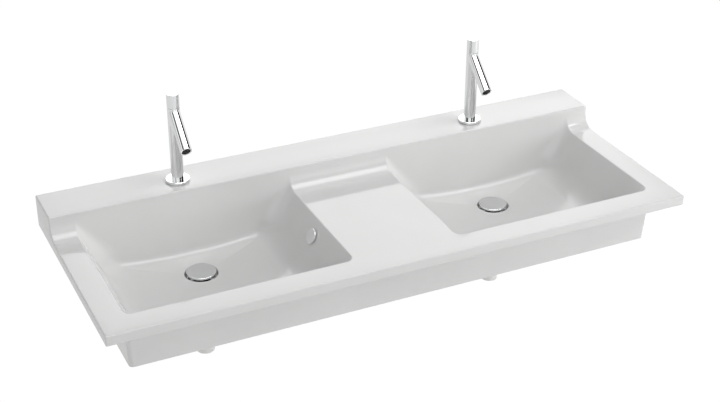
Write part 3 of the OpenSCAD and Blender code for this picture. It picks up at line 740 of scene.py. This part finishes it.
def tap_body():
    """Column and spout in one, with the waterway, the valve's chamber and the aerator's seat."""
    body = lathe("tap_body", [(0, 1), (COLUMN_R, 1), (COLUMN_R, COLUMN_TOP, 0.35), (0, COLUMN_TOP)], steps=FINE)
    spout = cylinder("spout", SPOUT_R, 4 - RUN, 4, MOUTH, SPOUT_TURN, FINE)
    cut(spout, cylinder("beyond", 25, 0, 25, MOUTH, MOUTH_TURN))
    cut(body, spout, "UNION")
    cut(body, spout_root(), "UNION")
    cut(body, cylinder("chamber", 11, 137.1, 175))
    cut(body, cylinder("waterway", 6, 0, 140))
    cut(body, cylinder("shank_seat", 11.05, 0, 14))
    cut(body, cylinder("bore", 6.5, 13.5 - RUN, 0, MOUTH, SPOUT_TURN))
    seat = [(0, -6), (10.6, -6), (10.6, -0.35), (11.1, 0.2), (11.1, 2), (0, 2)]
    return cut(body, lathe("seat", seat, MOUTH, MOUTH_TURN))


def tap_rosette():
    return lathe("tap_rosette", [(13.55, 1), (26.5, 1, 0.3), (26.5, 7, 1.9), (13.55, 7, 0.2)],
                 steps=FINE, closed=True)


def tap_gasket():
    return tube("tap_gasket", 25.5, 11.1, 0, 1, 0.3)


def tap_knob():
    knob = lathe("tap_knob", [(4.05, 189.5), (11, 189.5, 0.5), (11, 173.5, 0.3), (13.5, 173.5, 0.35),
                              (13.5, TAP_H, 0.7), (0, TAP_H), (0, 195.5), (4.05, 195.5)], steps=FINE)
    backward = Matrix.Rotation(math.radians(-90), 3, "X")
    return cut(knob, cylinder("screw_hole", 2.05, 0, 16, (0, 0, 191.5), backward, 32))


def tap_aerator():
    return lathe("tap_aerator", [(9.6, -6), (10.55, -6), (10.55, 0, 0.35), (9.6, 0, 0.35)],
                 MOUTH, MOUTH_TURN, closed=True)


def tap_aerator_insert():
    """A flow former with three rings of water holes round the middle one."""
    disc = lathe("tap_aerator_insert", [(0, -5), (9.55, -5), (9.55, -0.5, 0.4), (0, -0.5)])
    for count, radius in ((1, 0.0), (6, 2.6), (12, 5.2), (18, 7.8)):
        cut(disc, repeated(cylinder("jets", 0.75, -6, 1, steps=16), DARK, count, radius))
    for v in disc.data.vertices:
        v.co = MOUTH_TURN @ v.co + Vector(MOUTH) * MM
    return disc


def tap_tail():
    """Threaded shank, and the thinner supply inlet with its own thread."""
    core = lathe("tap_tail", [(6, -80), (9.6, -80, 0.5), (9.6, -35.5), (10.1, -34), (10.1, 0.5), (11, 0.5),
                              (11, 14), (6, 14)], closed=True)
    return joined("tap_tail", [core, thread("shank_thread", BRASS, 11, -33.8, 0.4, 1.5),
                               thread("inlet_thread", BRASS, 10.45, -79.2, -35.2)])


def plug_cap():
    return lathe("plug_cap", [(0, -110.7), (4.05, -110.7), (4.05, -116.2), (8, -116.2, 0.5), (8, -112.2),
                              (32, -112.2, 0.5), (32, -107.7, 0.8), (0, -107.7)], steps=FINE)


def waste_body():
    """Flange and tube with a spoked bridge, overflow slots and an outside thread."""
    body = lathe("waste_body", [(18, -205, 0.4), (20.1, -205, 0.5), (20.1, -151), (20.95, -150),
                                (20.95, -123), (31.5, -123), (31.5, -120.5, 0.8), (20, -120.5, 0.6),
                                (18, -122.6)], steps=FINE, closed=True)
    spoke = block("spoke", 9, 18.6, -1.5, 1.5, -153.2, -147.2)
    hub = tube("hub", 11, 8.05, -153.2, -147.2)
    cut(body, repeated(spoke, CHROME, 3), "UNION")
    cut(body, hub, "UNION")
    slot = block("slot", 12, 25, -8, 8, -142, -132)
    cut(body, repeated(slot, CHROME, 2))
    return joined("waste_body", [body, thread("waste_thread", CHROME, 20.95, -204.4, -151, 2.0)])


def waste_tail_nut():
    """A round nut with finger grooves."""
    nut = lathe("waste_tail_nut", [(21, -214, 0.5), (25.95, -214, 1.2), (25.95, -190, 1.2), (21, -190, 0.5)],
                steps=144, closed=True)
    return cut(nut, repeated(cylinder("groove", 1.6, -216, -188, steps=20), WHITE, 12, 26.55))


def waste_tail_pipe():
    return lathe("waste_tail_pipe", [(18, -205.3), (20.95, -205.3), (20.95, -215, 0.5), (20, -215),
                                     (20, -307.3, 0.5), (18, -307.3, 0.5)], steps=FINE, closed=True)


def waste_under_seal():
    return lathe("waste_under_seal", [(21, -154), (35, -154, 0.6), (37, -150, 0.4), (21, -150)], closed=True)


def overflow_cap():
    """Cap on a stem with three fins that grip the sleeve."""
    cap = lathe("overflow_cap", [(0, -11), (3, -11, 0.4), (3, 2.6), (17, 2.6, 0.3), (17, 5.0, 0.9), (0, 5.0)],
                steps=FINE)
    fin = block("fin", 2, 10.6, -0.8, 0.8, -11, 3)
    return cut(cap, repeated(fin, CHROME, 3), "UNION")


def overflow_sleeve():
    return lathe("overflow_sleeve", [(10.65, -22, 0.3), (12.45, -22, 0.3), (12.45, 0), (14.45, 0),
                                     (14.45, 1, 0.4), (10.65, 1, 0.4)], closed=True)


TAP_PIECES = {
    "tap_body": tap_body, "tap_rosette": tap_rosette, "tap_gasket": tap_gasket, "tap_knob": tap_knob,
    "tap_aerator": tap_aerator, "tap_aerator_insert": tap_aerator_insert, "tap_tail": tap_tail,
    "tap_fixing_gasket": lambda: tube("tap_fixing_gasket", 24, 11.1, -19, -16),
    "tap_fixing_washer": lambda: tube("tap_fixing_washer", 22, 11.1, -21, -19),
    "tap_back_nut": lambda: hex_nut("tap_back_nut", 17.5, 11.05, -30, -21),
    "tap_headwork_nut": lambda: hex_nut("tap_headwork_nut", 10, 4.1, 173.1, 177.1),
}
WASTE_PIECES = {
    "plug_cap": plug_cap, "waste_body": waste_body, "waste_tail_nut": waste_tail_nut,
    "plug_seal": lambda: tube("plug_seal", 17.4, 8.05, -115.2, -112.2),
    "waste_tail_pipe": waste_tail_pipe, "waste_under_seal": waste_under_seal,
    "waste_top_seal": lambda: tube("waste_top_seal", 30.5, 21, -124, -123, 0.3),
    "waste_lock_nut": lambda: hex_nut("waste_lock_nut", 32, 21, -164, -154),
}
OVERFLOW_PIECES = {"overflow_cap": overflow_cap, "overflow_sleeve": overflow_sleeve}
SLOT_OF = {part["node"]: part["material_slot"] for part in frame["record"]["subparts"]}
BODY_OF = {node: body for body, nodes in frame["record"]["behaviour"]["bodies"].items() for node in nodes}


def hand_over(obj, node):
    """Finishes a made piece and puts it in the place of its solid."""
    obj.name = obj.data.name = "fine_" + node
    obj.data.materials.clear()
    obj.data.materials.append(BY_SLOT[SLOT_OF[node]])
    for face in obj.data.polygons:
        face.material_index = 0
    soften(obj)
    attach(obj, BODY_OF[node])
    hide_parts(node)


def fit_pieces(pieces, place):
    """Makes each piece once and sets a copy of it at both fittings."""
    for part, make in pieces.items():
        master = make()
        for s in SIDES:
            copy = add_object(part, master.data.copy())
            copy.data.transform(place(s))
            hand_over(copy, f"{part}_{side_name(s)}")
        bpy.data.objects.remove(master)


def moved_to(x, y, z):
    return Matrix.Translation(Vector((x, y, z)) * MM)


def at_overflow(s):
    return moved_to(s * OVERFLOW_X, OVERFLOW_Y, OVERFLOW_Z) @ Matrix.Rotation(s * OVERFLOW_TILT, 4, "Y")


dress_nodes()
hand_over(make_basin(), "basin")
fit_pieces(TAP_PIECES, lambda s: moved_to(s * BOWL_X, TAP_Y, DECK_H))
fit_pieces(WASTE_PIECES, lambda s: moved_to(s * BOWL_X, DRAIN_Y, 0))
fit_pieces(OVERFLOW_PIECES, at_overflow)


# ---------------------------------------------------------------- stage, light and camera

# In metres, as the places and sizes of the lamps, cards and camera are
BASIN_MIDDLE = (0, -0.25, 0)


def stage_floor():
    """A pale floor that turns nearly white for the camera, and partly so in reflections."""
    mat, tree, shader = new_material("pale_floor")
    link = tree.links.new
    path = add_node(tree, "LightPath")
    glow = add_node(tree, "Emission", Strength=1.06)
    mix = add_node(tree, "MixShader")
    out = tree.nodes["Material Output"]
    set_inputs(shader, Base_Color=(0.82, 0.82, 0.82, 1), Roughness=0.8)
    share, mirrored = math_node(tree, "MULTIPLY_ADD", 0.9), math_node(tree, "MULTIPLY", 0.45)
    link(path.outputs["Is Glossy Ray"], mirrored.inputs[0])
    link(path.outputs["Is Camera Ray"], share.inputs[0])
    link(mirrored.outputs[0], share.inputs[2])
    link(share.outputs[0], mix.inputs["Fac"])
    link(shader.outputs[0], mix.inputs[1])
    link(glow.outputs[0], mix.inputs[2])
    link(mix.outputs[0], out.inputs["Surface"])
    skin = Skin()
    half, level = 9000, -860
    skin.polygon([(-half, -half, level), (half, -half, level), (half, half, level), (-half, half, level)])
    floor = skin.build("floor_stage")
    if floor.data.polygons[0].normal.z < 0:
        floor.data.flip_normals()
    floor.data.materials.append(mat)


def studio_world():
    """White to the camera and in mirrors, and a soft light that fades with height for the rest."""
    world = bpy.data.worlds.new("studio")
    bpy.context.scene.world = world
    world.use_nodes = True
    tree = world.node_tree
    link = tree.links.new
    tree.nodes.clear()
    out = add_node(tree, "OutputWorld")
    light = add_node(tree, "Background", Color=(1, 1, 1, 1))
    seen = add_node(tree, "Background", Color=(1, 1, 1, 1), Strength=1.0)
    where, height = add_node(tree, "TexCoord"), add_node(tree, "SeparateXYZ")
    fade = add_node(tree, "MapRange", From_Min=0.0, From_Max=0.8, To_Min=0.80, To_Max=0.36)
    link(where.outputs["Generated"], height.inputs[0])
    link(height.outputs["Z"], fade.inputs["Value"])
    link(fade.outputs["Result"], light.inputs["Strength"])
    path = add_node(tree, "LightPath")
    either, any_ray = math_node(tree, "MAXIMUM"), math_node(tree, "MAXIMUM")
    mix = add_node(tree, "MixShader")
    link(path.outputs["Is Camera Ray"], either.inputs[0])
    link(path.outputs["Is Glossy Ray"], either.inputs[1])
    link(either.outputs[0], any_ray.inputs[0])
    link(path.outputs["Is Transmission Ray"], any_ray.inputs[1])
    link(any_ray.outputs[0], mix.inputs["Fac"])
    link(light.outputs[0], mix.inputs[1])
    link(seen.outputs[0], mix.inputs[2])
    link(mix.outputs[0], out.inputs["Surface"])


def soft_lamp(name, place, target, size, watts, in_mirrors=True):
    """A rectangular lamp in metres that points at its target."""
    data = bpy.data.lights.new(name, "AREA")
    data.shape, data.size, data.size_y = "RECTANGLE", size[0], size[1]
    data.energy = watts
    lamp = bpy.data.objects.new(name, data)
    bpy.context.scene.collection.objects.link(lamp)
    lamp.visible_glossy = in_mirrors
    lamp.location = place
    lamp.rotation_euler = (Vector(target) - Vector(place)).to_track_quat("-Z", "Y").to_euler()


def mirror_card(name, place, size, glow, edge=0.1):
    """A panel that only shows in reflections, bright or dark, and fades to white along its edges."""
    mat, tree, _ = new_material(name)
    link = tree.links.new
    emit, split = add_node(tree, "Emission"), add_node(tree, "SeparateXYZ")
    link(add_node(tree, "UVMap").outputs[0], split.inputs[0])
    both = math_node(tree, "MULTIPLY")
    for k, label in enumerate(("X", "Y")):
        fold, soft = math_node(tree, "PINGPONG", 0.5), add_node(tree, "MapRange", From_Max=edge)
        soft.interpolation_type = "SMOOTHSTEP"
        link(split.outputs[label], fold.inputs[0])
        link(fold.outputs[0], soft.inputs["Value"])
        link(soft.outputs["Result"], both.inputs[k])
    level = add_node(tree, "MapRange", To_Min=1.0, To_Max=glow)
    link(both.outputs[0], level.inputs["Value"])
    link(level.outputs["Result"], emit.inputs["Strength"])
    link(emit.outputs[0], tree.nodes["Material Output"].inputs["Surface"])
    turn = (Vector(BASIN_MIDDLE) - Vector(place)).to_track_quat("-Z", "Y").to_matrix()
    skin = Skin()
    skin.polygon([(Vector(place) + turn @ Vector((x * size[0] / 2, y * size[1] / 2, 0))) / MM
                  for x, y in ((-1, -1), (1, -1), (1, 1), (-1, 1))])
    card = skin.build(name)
    card.data.materials.append(mat)
    corners = card.data.uv_layers.new(name="card").data
    for loop in card.data.loops:
        local = turn.transposed() @ (card.data.vertices[loop.vertex_index].co - Vector(place))
        corners[loop.index].uv = (local.x / size[0] + 0.5, local.y / size[1] + 0.5)
    card.visible_camera = card.visible_diffuse = card.visible_shadow = card.visible_transmission = False


def photo_camera():
    """The photograph's view, solved from the corners of rim, deck and apron."""
    azimuth, elevation, roll = math.radians(-25.41), math.radians(28.67), math.radians(0.28)
    place, focal_pixels, image_width, sensor = (-1.157, -2.655, 1.471), 1419.1, 720, 36.0
    back = Vector((math.sin(azimuth) * math.cos(elevation), -math.cos(azimuth) * math.cos(elevation),
                   math.sin(elevation)))
    right = Vector((0, 0, 1)).cross(back).normalized()
    up = back.cross(right)
    c, s = math.cos(roll), math.sin(roll)
    rows = (right * c + up * s, up * c - right * s, back)
    data = bpy.data.cameras.new("camera")
    data.sensor_width, data.sensor_fit = sensor, "HORIZONTAL"
    data.lens = focal_pixels / image_width * sensor
    data.clip_start, data.clip_end = 0.05, 60
    cam = bpy.data.objects.new("camera", data)
    bpy.context.scene.collection.objects.link(cam)
    cam.matrix_world = Matrix.Translation(place) @ Matrix(rows).transposed().to_4x4()
    bpy.context.scene.camera = cam


stage_floor()
studio_world()
soft_lamp("key_soft", (3.8, -2.2, 5.2), BASIN_MIDDLE, (5.0, 3.8), 170)
soft_lamp("right_soft", (2.9, -2.0, 0.5), (0.3, -0.4, -0.05), (1.0, 1.2), 24, False)
soft_lamp("left_soft", (-2.6, -3.2, 1.6), (0.45, -0.3, 0), (1.4, 1.2), 5, False)
mirror_card("back_card", (1.2, 2.6, 2.05), (4.8, 2.6), 2.7, 0.25)
mirror_card("top_card", (0.1, -0.95, 2.3), (2.6, 1.6), 4.5, 0.03)
mirror_card("left_dark_card", (-3.3, -0.7, 2.4), (4.0, 1.3), 0.02)
mirror_card("right_dark_card", (3.2, -0.7, 2.25), (4.0, 2.4), 0.02, 0.06)
mirror_card("left_grey_card", (-3.7, -0.7, 0.2), (5.0, 1.7), 0.6)
mirror_card("front_dark_card", (1.0, -2.45, 2.0), (1.8, 1.7), 0.02, 0.06)
mirror_card("front_card_right", (2.1, -2.3, 2.6), (1.6, 0.8), 8.0, 0.12)
photo_camera()
bpy.context.scene.view_settings.view_transform = "Standard"
